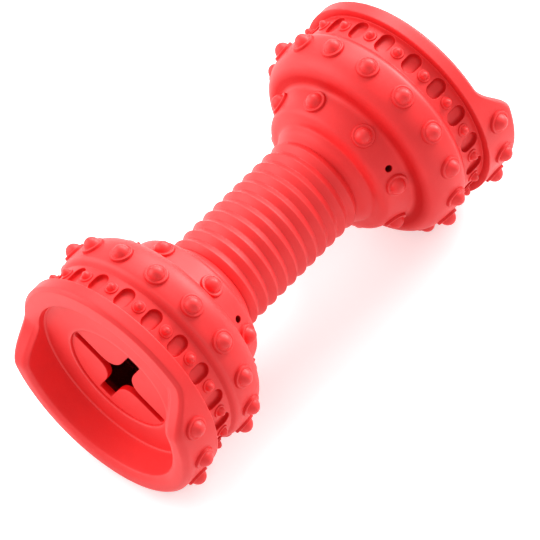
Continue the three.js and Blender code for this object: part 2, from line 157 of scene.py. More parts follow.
# Paler red for specks and for painted highlights on crests, domes and fine edges.
RUBBER_SPECK_AND_HIGHLIGHT = (0.92, 0.085, 0.085, 1)
# Painted light values: -1 is painted shade in a hollow, -2 the darker painted shade inside.
HOLLOW = -1
INSIDE = -2
MOTTLE_SCALE = 90
SPECK_SCALE = 1400
GRAIN_SCALE = 3200
GRAIN_DEPTH = 0.00006
SATIN_SHEEN = 0.37
RUBBER_IOR = 1.5
DULL_ROUGHNESS = 0.8


def noise(g, scale, detail):
    """Soft noise that is fixed to the piece, with about so many lumps to a metre."""
    place = g.node("ShaderNodeTexCoord", output="Object")
    return g.node("ShaderNodeTexNoise", {}, {"Vector": place, "Scale": scale, "Detail": detail})


def clamped(wire):
    """The wire's value, held between 0 and 1."""
    return wire.graph.node("ShaderNodeClamp", {}, {"Value": wire})


def mixed(share, first, second):
    """Two colours mixed by a share between 0 and 1."""
    colours = {0: share, 6: first, 7: second}
    return share.graph.node("ShaderNodeMix", {"data_type": "RGBA"}, colours, output=2)


def rubber_material(name, mottle_and_shade_red, grain_strength):
    """Red mixed towards a deeper red by soft noise and by painted shade, and towards a paler one by specks
    and painted highlight. A satin surface of that colour is mixed with a dull one by the painted shade, so
    shaded places lose their sheen as well."""
    material = bpy.data.materials.new(name)
    g = Graph(material)
    mottle = noise(g, MOTTLE_SCALE, 3)
    speck = noise(g, SPECK_SCALE, 2)
    grain = noise(g, GRAIN_SCALE, 2)
    painted_light = g.node("ShaderNodeAttribute", {"attribute_name": "painted_light"}, output="Fac")
    # height is the share of painted highlight, depth the share of painted shade, and inside the share of
    # the darker painted shade inside.
    height = clamped(painted_light)
    depth = clamped(0 - painted_light)
    inside = clamped(HOLLOW - painted_light)
    # Mottle and painted shade mix towards the deeper red, then the inside's painted shade, then specks and
    # painted highlight towards the paler red.
    mottled_and_shaded = mixed(clamped(mottle * 0.3 + depth * 0.7 - 0.08), RUBBER_RED, mottle_and_shade_red)
    shaded_inside = mixed(inside, mottled_and_shaded, RUBBER_INSIDE_SHADE)
    colour = mixed(clamped(height * 0.5 + speck * 0.2 - 0.08), shaded_inside, RUBBER_SPECK_AND_HIGHLIGHT)
    rough = 0.40 + mottle * 0.12 + speck * 0.06 - height * 0.04
    bump = g.node("ShaderNodeBump", {}, {
        "Strength": grain_strength, "Distance": GRAIN_DEPTH, "Height": grain + mottle * 2})
    both = {"Base Color": colour, "Normal": bump}
    satin = g.node("ShaderNodeBsdfPrincipled", {}, {
        **both, "Roughness": rough, "Specular IOR Level": SATIN_SHEEN, "IOR": RUBBER_IOR})
    dull = g.node("ShaderNodeBsdfPrincipled", {}, {
        **both, "Roughness": DULL_ROUGHNESS, "Specular IOR Level": 0.0})
    # Painted shade also swaps the satin sheen for the dull surface.
    surface = g.node("ShaderNodeMixShader", {}, {0: depth, 1: satin, 2: dull})
    g.node("ShaderNodeOutputMaterial", {}, {"Surface": surface})
    return material


rubber = rubber_material("coral_rubber", RUBBER_MOTTLE_AND_SHADE, grain_strength=0.35)
# The valve's copy differs in the colour of its painted shade and in a finer grain.
valve_rubber = rubber_material("coral_valve_rubber", VALVE_MOTTLE_AND_SHADE, grain_strength=0.25)
print("rubber materials:", rubber.name, valve_rubber.name)

# %% [markdown]
# ## From grids to a mesh
# Every piece below is made of grids of points. A grid is an array whose last axis holds x, y, z and
# painted light, which is a painted highlight above 0 and painted shade below it, and quads join its rows
# and columns. Neighbouring grids share the points of their common edge, so merging doubles closes the
# skin, and the faces are then all turned outwards. The grids are in millimetres, for the far head and
# from the toy's axis, and the near head's pieces mirror them in x.

# %% Mesh helpers
MM = 0.001
MERGE_MM = 0.002
SHARP_DEGREES = 38
HEADS = {"far": 1, "near": -1}

axis_height = (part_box("grip")[0].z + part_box("grip")[1].z) / 2 / MM


def quads(grid):
    """Faces of a stack of grids: each joins a point, the next in its row and both in the next row."""
    index = np.arange(grid[..., 0].size).reshape(grid.shape[:-1])
    corner = (index[..., :-1, :-1], index[..., :-1, 1:], index[..., 1:, 1:], index[..., 1:, :-1])
    return np.stack(corner, -1).reshape(-1, 4)


def in_frame(points, hand):
    """Points in metres in the frame: hand -1 mirrors x, and z is raised by the axis's height."""
    return (points * (hand, 1, 1) + (0, 0, axis_height)) * MM


def skin(name, grids, material, hand=1):
    """A closed piece: the points and quads of all grids, with doubles merged and faces turned out."""
    starts = np.cumsum([0] + [grid[..., 0].size for grid in grids])
    points = np.concatenate([grid.reshape(-1, 4) for grid in grids])
    faces = np.concatenate([quads(grid) + start for grid, start in zip(grids, starts)])
    mesh = bpy.data.meshes.new(name)
    mesh.from_pydata(in_frame(points[:, :3], hand).tolist(), [], faces.tolist())
    # Each point stores its painted light, for the rubber's painted highlight and painted shade.
    painted_light = mesh.attributes.new("painted_light", "FLOAT", "POINT")
    painted_light.data.foreach_set("value", points[:, 3].astype(np.float32))
    work = bmesh.new()
    work.from_mesh(mesh)
    bmesh.ops.remove_doubles(work, verts=work.verts, dist=MERGE_MM * MM)
    bmesh.ops.recalc_face_normals(work, faces=work.faces)
    work.to_mesh(mesh)
    open_edges = sum(not edge.is_manifold for edge in work.edges)
    work.free()
    mesh.shade_smooth()
    mesh.set_sharp_from_angle(angle=np.radians(SHARP_DEGREES))
    mesh.materials.append(material)
    piece = bpy.data.objects.new(name, mesh)
    bpy.context.collection.objects.link(piece)
    print(name, len(mesh.polygons), "faces,", open_edges, "open edges")
    return piece


def stands_for(piece, node, body="body"):
    """Makes the piece move with a body of the frame, in the place of one of its nodes."""
    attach(piece, body)
    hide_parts(node)


print("axis of the toy is", round(axis_height, 2), "mm above the ground")

# %% [markdown]
# ## Profiles
# Most of the toy is turned: an outline of station and radius goes round the axis. A moulded outline has
# no hard corners. A Bevel modifier could soften them, but a few corners, each cut back and bridged by a
# curve, keep the points where the studs' cells need them.

# %% Rounded outlines
CURVE_STEPS = 4


def rounded(*corners):
    """An outline of [station, radius] points. A corner with cuts (before, after) becomes the quadratic
    curve (1-t)^2 a + 2t(1-t) corner + t^2 b between the points a and b that the cuts mark on its two
    sides. A fourth number gives a corner its own count of steps."""
    spots = np.array([corner[:2] for corner in corners], float)
    outline = []
    for i, corner in enumerate(corners):
        if len(corner) == 2:
            outline.append(spots[i:i + 1])
            continue
        t = np.linspace(0, 1, corner[3] if len(corner) > 3 else CURVE_STEPS)[:, None]
        before, after = np.broadcast_to(corner[2], 2)
        back, on = spots[i - 1] - spots[i], spots[i + 1] - spots[i]
        a = spots[i] + back * before / np.linalg.norm(back)
        b = spots[i] + on * after / np.linalg.norm(on)
        outline.append((1 - t) ** 2 * a + 2 * t * (1 - t) * spots[i] + t ** 2 * b)
    return np.concatenate(outline)


def lengths(outline):
    """Distance along the outline at each of its points."""
    return np.concatenate([[0], np.cumsum(np.linalg.norm(np.diff(outline, axis=0), axis=1))])


def spaced(outline, step):
    """The outline with its long runs divided evenly, so that no two points are further apart than step."""
    runs = np.linalg.norm(np.diff(outline, axis=0), axis=1)
    counts = np.maximum(1, np.ceil(runs / step)).astype(int)
    along = np.concatenate([[0], np.cumsum(np.repeat(runs / counts, counts))])
    known = lengths(outline)
    return np.stack([np.interp(along, known, outline[:, i]) for i in (0, 1)], 1)


print("a rounded corner has", len(rounded((0, 0), (1, 0, 0.5), (1, 1))) - 2, "points")

# %% [markdown]
# ## Going round the axis
# Columns count the angle round the axis. There are 320 of them, because the studs stand at every
# sixteenth of a turn, the cone's at every eighth and the tread's at every fortieth, and all of these are
# whole numbers of columns. Column 0 is the middle of the raised part of the lip.

# %% Turned grids
COLUMNS = 320
lip_mount = frame["record"]["mounts"][0]["pos_m"]
raised_middle = np.arctan2(lip_mount[2] / MM - axis_height, lip_mount[1] / MM)


def angle(column):
    """Direction of a column: the raised lip's middle plus its share of a whole turn."""
    return raised_middle + np.asarray(column) * 2 * np.pi / COLUMNS


def on_axis(station, radius, direction, painted_light=0):
    """Points at a station along the axis, at a radius and in a direction round it."""
    parts = (station, radius * np.cos(direction), radius * np.sin(direction), painted_light)
    return np.stack(np.broadcast_arrays(*parts), -1).astype(float)


def turned(outline, first=0, last=COLUMNS, step=1, painted_light=0):
    """The outline carried round the axis, from one column to another."""
    direction = angle(np.arange(first, last + 1, step))
    return on_axis(outline[:, :1], outline[:, 1:2], direction, painted_light)


print("raised lip is centred at", round(np.degrees(raised_middle), 2), "degrees")

# %% [markdown]
# ## Grip
# The middle of the toy has eleven ribs in an even zigzag, with crests and valleys just softened. It could
# be a stack of cones, but turning one outline keeps them in one skin. Inside runs the air passage, and a
# plug at each end sits in the head's neck. The mirror plane cuts the middle crest, so the softened half
# of that crest is given as two points.

# %% Ribbed grip
RIB_COUNT = 11
RIB_PITCH = 4.77
RIB_CREST = 17.65
RIB_VALLEY = 16.15
RIB_SOFTNESS = 0.22
# Crests are painted paler than valleys, as a painted highlight.
RIB_HIGHLIGHT = (0.05, 0.25)
SEAM_GAP = 0.01
PLUG_RADIUS = 14.5
AIR_PASSAGE = 6.0
GRIP_STEP = 1.3
plug_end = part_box("grip")[1].x / MM
neck_seam = RIB_PITCH * RIB_COUNT / 2


def grip_outline():
    """Half of the grip's closed outline, from the middle crest to the plug and back in the passage."""
    ribs = range(1, RIB_COUNT // 2 + 1)
    valleys = [(RIB_PITCH * (i - 0.5), RIB_VALLEY, RIB_SOFTNESS) for i in ribs]
    crests = [(RIB_PITCH * i, RIB_CREST, RIB_SOFTNESS) for i in ribs]
    zigzag = [corner for pair in zip(valleys, crests) for corner in pair]
    end = neck_seam - SEAM_GAP
    return rounded(
        (0, RIB_CREST - 0.06), (0.12, RIB_CREST - 0.08), *zigzag, (end, RIB_VALLEY, 0.15),
        (end, PLUG_RADIUS, 0.3), (plug_end, PLUG_RADIUS, 0.4), (plug_end, AIR_PASSAGE, 0.4),
        (0, AIR_PASSAGE))


half_grip = spaced(grip_outline(), GRIP_STEP)
# The ribs' painted highlight, read from the radius.
rib_highlight = np.interp(half_grip[:, 1:], (RIB_VALLEY, RIB_CREST), RIB_HIGHLIGHT)
grip_grids = [turned(half_grip * (side, 1), step=2, painted_light=rib_highlight) for side in (1, -1)]
grip = skin("grip_skin", grip_grids, rubber)
stands_for(grip, "grip")

# %% [markdown]
# ## Cells for studs and pockets
# A stud on a turned surface could be a Boolean union, but that leaves a ragged ring of triangles. Here
# the surface is laid out in cells instead, one round each stud. A cell's rings start as circles, follow
# the stud's own profile outwards, and then widen into the cell's four sides, whose points are those of
# the neighbouring grids.

# %% Cells
WIDENING_RINGS = 4


def border(low, high, first, last, rows):
    """The four sides of a cell as a closed loop of [length, direction] points. Two sides lie at the
    lengths that low and high give for each direction, and two lie on the first and last column."""
    across = angle(np.arange(first, last + 1))
    t = np.linspace(0, 1, rows + 1)
    bottom, top = low(across), high(across)
    sides = (
        np.stack([bottom, across], 1),
        np.stack([bottom[-1] + t * (top[-1] - bottom[-1]), np.full_like(t, across[-1])], 1),
        np.stack([top, across], 1)[::-1],
        np.stack([bottom[0] + t * (top[0] - bottom[0]), np.full_like(t, across[0])], 1)[::-1],
    )
    return np.concatenate([side[:-1] for side in sides] + [sides[0][:1]])


def cell(surface, edge, middle, profile, lean=0, reach=0):
    """Rings of a stud or pocket. On the flattened surface a ring point is the spine's nearest point plus
    the ring's distance in the direction of its border point, and past the profile's end the rings widen
    evenly to the border. Each point is then lifted off the surface by the profile's height, along the
    stud's leaning axis."""
    flat = np.array([1, surface(*middle)[1]])
    offset = (edge - middle) * flat
    spine = np.stack([np.clip(offset[:, 0], -reach, reach), np.zeros(len(offset))], 1)
    out = offset - spine
    out /= np.linalg.norm(out, axis=1, keepdims=True)
    distance, height, painted_light = profile.T
    inner = spine + distance[:, None, None] * out
    t = np.linspace(0, 1, WIDENING_RINGS + 1)[1:, None, None]
    rings = np.concatenate([inner, inner[-1] + t * (offset - inner[-1])]) / flat + middle
    lift, painted_light = (np.append(column, np.zeros(WIDENING_RINGS))[:, None] for column in (height, painted_light))
    station, radius = surface(rings[..., 0], rings[..., 1])
    points = on_axis(station, radius, rings[..., 1], painted_light)
    up = np.cos(middle[1]) * np.cos(lean), np.sin(middle[1]) * np.cos(lean)
    points[..., :3] += lift[..., None] * (-np.sin(lean), *up)
    return points


print("a cell widens in", WIDENING_RINGS, "rings")

# %% [markdown]
# ## The studs
# The large studs of the heads have a round dome, a fine groove and a low collar. The small ones between
# the tread pockets are the same at two thirds of the size, and a pocket is an oval hollow. Each is one
# profile of distance from the middle and height, with its painted light: a painted highlight on the dome,
# the collar's top and the pocket's floor, and painted shade at the collar's foot and on the pocket's wall.

# %% Stud and pocket profiles
DOME_STEPS = 9
DOME_SPAN = np.radians(72)
BIG_DOME = (2.72, 1.06, 3.2)
BIG_GROOVE = (2.74, 1.0), (2.82, 0.86, 0.1, 3), (3.0, 0.86, 0.08, 2)
BIG_COLLAR = (3.16, 0.96, 0.12, 3), (3.75, 0.94, 0.24), (3.85, 0, (0.22, 0.16), 3), (4.05, 0)
BIG_RINGS = (0, 2.7, 3.0, 3.5, 3.8, 3.9, 4.04)
SMALL_DOME = (1.46, 0.55, 2.2)
SMALL_GROOVE = (1.48, 0.5), (1.55, 0.42, 0.06, 3), (1.68, 0.48, 0.06, 2)
SMALL_COLLAR = (2.06, 0.46, 0.18, 3), (2.15, 0, (0.2, 0.14), 3), (2.32, 0)
SMALL_RINGS = (0, 1.5, 1.6, 1.9, 2.12, 2.2, 2.31)
# Painted highlight on the dome and the collar's top, painted shade at the collar's foot.
STUD_LIGHT_AND_SHADE = (0.3, 0.1, 0, 0.3, -0.5, -0.5, 0)
POCKET_DEPTH = 1.6
POCKET_EDGE = (2.5, -0.3, 0.2, 3), (2.6, 0, (0.25, 0.14)), (2.76, 0)
POCKET_RINGS = (0, 1.2, 2.1, 2.5, 2.62)
# Painted highlight on the pocket's floor, painted shade on its wall.
POCKET_LIGHT_AND_SHADE = (0.2, 0.1, -0.9, HOLLOW, 0)


def dome(radius, base, top):
    """A stretched cap of a sphere, from the top of a stud down to its foot."""
    t = np.linspace(0, DOME_SPAN, DOME_STEPS)
    share = (np.cos(t) - np.cos(DOME_SPAN)) / (1 - np.cos(DOME_SPAN))
    return np.stack([radius * np.sin(t) / np.sin(DOME_SPAN), base + (top - base) * share], 1)


def finished(profile, distances, painted_light):
    """The profile with a third column: its painted light and shade, read between a few distances from the
    middle.
    """
    return np.c_[profile, np.interp(profile[:, 0], distances, painted_light)]


big_outline = np.concatenate([dome(*BIG_DOME), rounded(*BIG_GROOVE, *BIG_COLLAR)])
big_stud = finished(big_outline, BIG_RINGS, STUD_LIGHT_AND_SHADE)
small_outline = np.concatenate([dome(*SMALL_DOME), rounded(*SMALL_GROOVE, *SMALL_COLLAR)])
small_stud = finished(small_outline, SMALL_RINGS, STUD_LIGHT_AND_SHADE)
pocket_outline = rounded((0, -POCKET_DEPTH), (2.2, -POCKET_DEPTH, (1.1, 0.8), 6), *POCKET_EDGE)
pocket = finished(pocket_outline, POCKET_RINGS, POCKET_LIGHT_AND_SHADE)
print("rings of a big stud, small stud and pocket:", len(big_stud), len(small_stud), len(pocket))

# %% [markdown]
# ## Shoulder
# The shoulder is the bell of a head: a neck ring, a rounded roll, a cone with eight leaning studs and a
# small vent hole, and the big bulge with sixteen studs. It could be joined from rings and a torus, but
# one outline, from the frame's stations and a few radii, keeps every fillet smooth.

# %% Shoulder outline
bulge_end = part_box("far_shoulder")[1].x / MM
NECK_FLARE = 2.0
NECK_FOOT = 18.6
NECK_RING = 19.7
ROLL_FOOT = bulge_end - 27.0
ROLL_RADIUS = 24.3
CONE_START = ROLL_FOOT + 3.3
CONE_TOP = 25.2
VALLEY = bulge_end - 16.0
VALLEY_RADIUS = 27.5
BULGE_RADIUS = 37.4
BULGE_FRONT = bulge_end - 2.3
CHANNEL_RADIUS = 35.5
SHOULDER_STEP = 0.6

seam = neck_seam + SEAM_GAP
shoulder_outside = spaced(rounded(
    (seam, RIB_VALLEY), (seam + NECK_FLARE, NECK_FOOT, 1.2), (ROLL_FOOT, NECK_RING, (0.6, 0.7)),
    (ROLL_FOOT + 0.3, ROLL_RADIUS, (3.4, 2.6), 9), (VALLEY, VALLEY_RADIUS, (2.2, 2.4), 7),
    (VALLEY, BULGE_RADIUS, (7.2, 10.5), 16), (BULGE_FRONT, BULGE_RADIUS, (2.6, 1.0), 10),
    (bulge_end - 0.3, CHANNEL_RADIUS, (0.8, 0.25), 6), (bulge_end, CHANNEL_RADIUS)), SHOULDER_STEP)
shoulder_length = lengths(shoulder_outside)


def on_shoulder(length, direction):
    """Station and radius at a length along the shoulder's outline, the same in every direction."""
    return tuple(np.interp(length, shoulder_length, shoulder_outside[:, i]) for i in (0, 1))


def length_at(station):
    """Length along the shoulder's outline at a station of its cone or bulge."""
    return np.interp(station, shoulder_outside[:, 0], shoulder_length)


print("shoulder outline:", len(shoulder_outside), "points,", round(shoulder_length[-1], 1), "mm")

# %% [markdown]
# The outline is cut into bands. The two bands that carry studs are filled with cells, sixteen side by
# side on the bulge, and eight on the cone with a plain strip between one and the next. One of these
# strips has the vent hole, through which the squeaker breathes, and so it is a cell too.

# %% Shoulder cells
STUD_BAND = 4.3
BAND_ROWS = 14
HALF_CELL = 10
BULGE_STUDS = 16
BULGE_STUD = bulge_end - 7.2
CONE_STUDS = 8
CONE_STUD = VALLEY - 5.0
CONE_LEAN = np.arctan2(VALLEY_RADIUS - CONE_TOP, VALLEY - CONE_START)
VENT_COLUMN = -105 / 360 * COLUMNS
VENT_STRIP = 5
VENT_RADIUS = 1.1
VENT_DEPTH = 4.6
VENT_RINGS = (0, 1.09, 1.15, 1.4)
# Painted shade: the vent's bore is painted dark like the inside, and its edge as a hollow.
VENT_SHADE = (INSIDE, INSIDE, HOLLOW, 0)
bulge_step, cone_step = COLUMNS // BULGE_STUDS, COLUMNS // CONE_STUDS
bulge_length = length_at(BULGE_STUD)
cone_length = length_at(CONE_STUD)
bulge_low, bulge_high = bulge_length - STUD_BAND, bulge_length + STUD_BAND
cone_low, cone_high = cone_length - STUD_BAND, cone_length + STUD_BAND
vent_outline = rounded(
    (0, -VENT_DEPTH), (VENT_RADIUS - 0.05, -VENT_DEPTH, 0.1), (VENT_RADIUS, 0, (0.3, 0.25)), (1.5, 0))
vent = finished(vent_outline, VENT_RINGS, VENT_SHADE)


def constant(length):
    """A cell side that lies at one length all along."""
    return lambda direction: np.full_like(direction, length)


def stud_on_shoulder(length, column, lean):
    """The cell of one big stud at a length and column of the shoulder."""
    ends = constant(length - STUD_BAND), constant(length + STUD_BAND)
    edge = border(*ends, column - HALF_CELL, column + HALF_CELL, BAND_ROWS)
    return cell(on_shoulder, edge, (length, float(angle(column))), big_stud, lean)


bulge_cells = [stud_on_shoulder(bulge_length, i * bulge_step, 0) for i in range(BULGE_STUDS)]
cone_cells = [stud_on_shoulder(cone_length, i * cone_step, CONE_LEAN) for i in range(CONE_STUDS)]
vent_first = VENT_STRIP * cone_step + HALF_CELL - COLUMNS
vent_last = vent_first + cone_step - 2 * HALF_CELL
vent_edge = border(constant(cone_low), constant(cone_high), vent_first, vent_last, BAND_ROWS)
vent_cell = cell(on_shoulder, vent_edge, (cone_length, float(angle(VENT_COLUMN))), vent, CONE_LEAN)
print("cells of one shoulder:", len(bulge_cells), "on the bulge and", len(cone_cells), "on the cone")

# %% [markdown]
# The rest of the shoulder's skin is plain turned grids: the neck and roll, the strips of the cone, the
# valley, the front of the bulge and the hollow inside. The valley and the foot of the bulge's front are
# given painted shade, a deeper red, and the crest of the front a painted highlight, a paler one. Beside
# a cell the painted light is always 0, or a line would show where the two grids meet.

# %% Shoulder skins
FIT = 0.3
HEAD_WALL = 5.0
SPIGOT_WALL = 2.7
ROOF_THICKNESS = 2.0
INSIDE_STEP = 9
NEAREST_ROW = 0.05
# Painted shade along the valley, and along the bulge's front a painted highlight at its crest and painted
# shade at its foot.
VALLEY_SHADE = (0, 1.5, 3.5, 7), (0, -0.75, -0.75, 0)
FRONT_SHADE = (0, 0.5, 1.0, 2.2, 3.0, 3.6), (0, 0.5, 0.3, -0.3, -0.4, -0.2)
chamber_radius = (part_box("far_bulkhead")[1].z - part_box("far_bulkhead")[0].z) / 2 / MM
bulkhead_back, bulkhead_front = (corner.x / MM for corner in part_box("far_bulkhead"))
spigot_radius = chamber_radius + SPIGOT_WALL
roof = plug_end + FIT + ROOF_THICKNESS


def band_rows(low, high):
    """Rows of the shoulder's outline between two lengths, both ends included."""
    between = (shoulder_length > low + NEAREST_ROW) & (shoulder_length < high - NEAREST_ROW)
    rows = np.concatenate([[low], shoulder_length[between], [high]])
    return np.stack(on_shoulder(rows, 0), 1)


def shaded(rows, distances, painted_light):
    """The rows carried round the axis, with painted light and shade that is read between a few distances
    along them.
    """
    return turned(rows, painted_light=np.interp(lengths(rows), distances, painted_light)[:, None])


shoulder_inside = spaced(rounded(
    (bulge_end, CHANNEL_RADIUS), (bulge_end, spigot_radius + FIT), (bulkhead_front, spigot_radius + FIT),
    (bulkhead_front, chamber_radius + FIT), (bulkhead_back - FIT, chamber_radius + FIT),
    (bulkhead_back - FIT, chamber_radius - 3.7, 0.5), (VALLEY, VALLEY_RADIUS - HEAD_WALL, 2),
    (roof, CONE_TOP - HEAD_WALL, 0.8), (roof, AIR_PASSAGE, 0.4), (plug_end + FIT, AIR_PASSAGE, 0.4),
    (plug_end + FIT, PLUG_RADIUS + FIT), (seam, PLUG_RADIUS + FIT), (seam, RIB_VALLEY)), INSIDE_STEP)
strip_rows = np.stack(on_shoulder(np.linspace(cone_low, cone_high, BAND_ROWS + 1), 0), 1)
strips = [
    turned(strip_rows, i * cone_step + HALF_CELL, (i + 1) * cone_step - HALF_CELL)
    for i in range(CONE_STUDS) if i != VENT_STRIP]
valley = shaded(band_rows(cone_high, bulge_low), *VALLEY_SHADE)
front = shaded(band_rows(bulge_high, shoulder_length[-1]), *FRONT_SHADE)
shoulder_grids = [
    turned(band_rows(0, cone_low)), valley, front, turned(shoulder_inside),
    np.stack(bulge_cells), np.stack(cone_cells), np.stack(strips), vent_cell]
for head, hand in HEADS.items():
    shoulder = skin(f"{head}_shoulder_skin", shoulder_grids, rubber, hand)
    stands_for(shoulder, f"{head}_shoulder")

# %% [markdown]
# ## End cup
# The cup carries the tread channel with its pockets and small studs, the rim band, and the lip. The lip
# is low on one side and raised on the other. Instead of two shapes, the lip's section is written twice,
# low and raised, and each column blends the two by how far its lip is lifted.

# %% Lip and mouth sections
channel_start = bulge_end + 2 * SEAM_GAP
lip_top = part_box("far_end_cup")[1].x / MM
floor_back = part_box("far_flap_1")[0].x / MM
floor_front = floor_back + 3.0
LOW_LIP = floor_front + 2.0
LIP_HEIGHT = 2.6
LIP_INNER = 33.1
RIM_BACK = channel_start + 9.1
BAND_RADIUS = 38.3
MOUTH_RADIUS = 31.2
FLOOR_EDGE = 30.4
FLOOR_STEP = 0.3
VALVE_SEAM = 19.75
SEAM_DEPTH = 0.5
RAMP_DEGREES = 24
RAISED_HALF_DEGREES = 101.25


def lift_at(direction):
    """How far the lip is raised: 1 over most of its span, falling smoothly to 0 across each ramp."""
    offset = np.abs(np.angle(np.exp(1j * (direction - raised_middle))))
    t = np.clip((RAISED_HALF_DEGREES + RAMP_DEGREES / 2 - np.degrees(offset)) / RAMP_DEGREES, 0, 1)
    return t * t * (3 - 2 * t)


def lip_section(lip, bevel, soft, slope, edge):
    """From the band over the bevelled outer edge, across the lip's front, over the mouth's edge and down
    its wall to a fine step round the floor, and across the floor into the valve's seam."""
    step = floor_front + FLOOR_STEP
    return rounded(
        (lip - LIP_HEIGHT, BAND_RADIUS), (lip - bevel, BAND_RADIUS, soft), (lip, BAND_RADIUS - bevel, soft),
        (lip, LIP_INNER, (slope, slope * 0.8)), (lip - slope, MOUTH_RADIUS, edge),
        (step, FLOOR_EDGE + FLOOR_STEP, 0.1), (step, FLOOR_EDGE, 0.15),
        (floor_front, FLOOR_EDGE - FLOOR_STEP, 0.15), (floor_front, VALVE_SEAM, 0.3),
        (floor_front - SEAM_DEPTH, VALVE_SEAM))


low_section = lip_section(LOW_LIP, bevel=1.15, soft=0.3, slope=0.02, edge=0.25)
raised_section = lip_section(lip_top, bevel=1.5, soft=0.8, slope=1.2, edge=0.4)
print("lip sections have", len(low_section), "points; the lip rises", round(lip_top - LOW_LIP, 1), "mm")

# %% [markdown]
# The rows of the mouth have to be spaced the same way in both sections, so the two are divided together.
# Two fine edges, at the valve's hole and at the step round the floor, are painted paler as a painted
# highlight. They are found by their radius, so the painted highlight is read from it.

# %% Lip grid
LIP_STEP = 1.2
# Radii and values of the painted highlight on the two fine edges.
PALE_EDGES = np.append(
    VALVE_SEAM + np.array((-0.1, 0.1, 0.3, 0.5)), FLOOR_EDGE + np.array((-0.5, -0.3, 0.2, 0.31)))
EDGE_HIGHLIGHT = (0, 1, 1, 0, 0, 1, 1, 0)


def blended(direction, low, raised):
    """A grid of the low and raised sections, mixed by the lip's lift in each direction."""
    lift = lift_at(direction)
    mix = low[:, None] + lift[:, None] * (raised - low)[:, None]
    # The painted highlight on the fine edges.
    edge_highlight = np.interp(mix[..., 1], PALE_EDGES, EDGE_HIGHLIGHT)
    return on_axis(mix[..., 0], mix[..., 1], direction, edge_highlight)


def divided(low, raised, step):
    """Both sections with each run cut into equal pieces, as many as the longer of the two needs."""
    runs = [np.linalg.norm(np.diff(section, axis=0), axis=1) for section in (low, raised)]
    counts = np.maximum(1, np.ceil(np.maximum(*runs) / step)).astype(int)
    t = np.concatenate([[0], np.cumsum(np.repeat(1 / counts, counts))])
    knots = np.arange(len(low))
    return [np.stack([np.interp(t, knots, section[:, i]) for i in (0, 1)], 1) for section in (low, raised)]


around = angle(np.arange(COLUMNS + 1))
lip_grid = blended(around, *divided(low_section, raised_section, LIP_STEP))
print("lip grid:", lip_grid.shape)

# %% [markdown]
# The rim band is a cylinder between the tread channel and the lip. Nine big studs stand on it where the
# lip is raised, one cell beside the other, and one plain strip goes round the rest. Its front side
# follows the lip, so the cells are taller than they are on the shoulder.

# %% Rim band
RIM_STUD = RIM_BACK + 7.0
RIM_STUDS_EACH_WAY = 4
rim_low = RIM_BACK + 0.5
plain_from = RIM_STUDS_EACH_WAY * bulge_step + HALF_CELL


def on_rim(length, direction):
    """The band is a plain cylinder, measured by its station."""
    return length, np.full_like(length, BAND_RADIUS)


def lip_foot(direction):
    """Station where the lip's section starts in each direction."""
    low, raised = low_section[0, 0], raised_section[0, 0]
    return low + lift_at(direction) * (raised - low)


def rim_strip(first, last):
    """A plain part of the band, with the same rows along its sides as a stud cell."""
    direction = angle(np.arange(first, last + 1))
    t = np.linspace(0, 1, BAND_ROWS + 1)[:, None]
    return on_axis(rim_low + t * (lip_foot(direction) - rim_low), BAND_RADIUS, direction)


def rim_stud(column):
    """The cell of one stud on the raised part of the rim."""
    edge = border(constant(rim_low), lip_foot, column - HALF_CELL, column + HALF_CELL, BAND_ROWS)
    return cell(on_rim, edge, (RIM_STUD, float(angle(column))), big_stud)


rim_cells = [rim_stud(i * bulge_step) for i in range(-RIM_STUDS_EACH_WAY, RIM_STUDS_EACH_WAY + 1)]
rim_plain = rim_strip(plain_from, COLUMNS - plain_from)
print("rim:", len(rim_cells), "stud cells and a plain strip of", rim_plain.shape[1] - 1, "columns")

# %% [markdown]
# The tread is the channel between the bulge and the rim, which grips like a tyre. Its floor is nothing
# but cells: twenty pockets and twenty small studs take turns. A pocket is a stud's cell with a negative
# height, stretched along the axis by a short spine.

# %% Tread channel
TREAD_ROWS = 12
TREAD_MARGIN = 0.4
TREAD_PAIRS = 20
POCKET_REACH = 1.3
SMALL_STUD_SHIFT = -0.4
tread_step = COLUMNS // TREAD_PAIRS
tread_low, tread_high = channel_start + TREAD_MARGIN, RIM_BACK - TREAD_MARGIN
tread_middle = (channel_start + RIM_BACK) / 2


def on_channel(length, direction):
    """The channel's floor is a plain cylinder, measured by its station."""
    return length, np.full_like(length, CHANNEL_RADIUS)


def tread_cell(column, station, profile, reach):
    """One stud or pocket of the tread, in a cell half a tread step wide."""
    half = tread_step // 4
    edge = border(constant(tread_low), constant(tread_high), column - half, column + half, TREAD_ROWS)
    return cell(on_channel, edge, (station, float(angle(column))), profile, reach=reach)


pockets = [tread_cell(i * tread_step, tread_middle, pocket, POCKET_REACH) for i in range(TREAD_PAIRS)]
small_studs = [
    tread_cell(i * tread_step + tread_step // 2, tread_middle + SMALL_STUD_SHIFT, small_stud, 0)
    for i in range(TREAD_PAIRS)]
print("tread:", len(pockets), "pockets and", len(small_studs), "small studs")

# %% [markdown]
# What is left of the cup is turned: the rim's back, which rises from the channel and is given painted
# shade, and the hollow behind the valve with the spigot that sits in the shoulder. The hollow is painted
# dark as painted shade, but not its two ends, where it meets the rubber that shows.

# %% Cup skins
RIM_SOFTNESS = 0.3
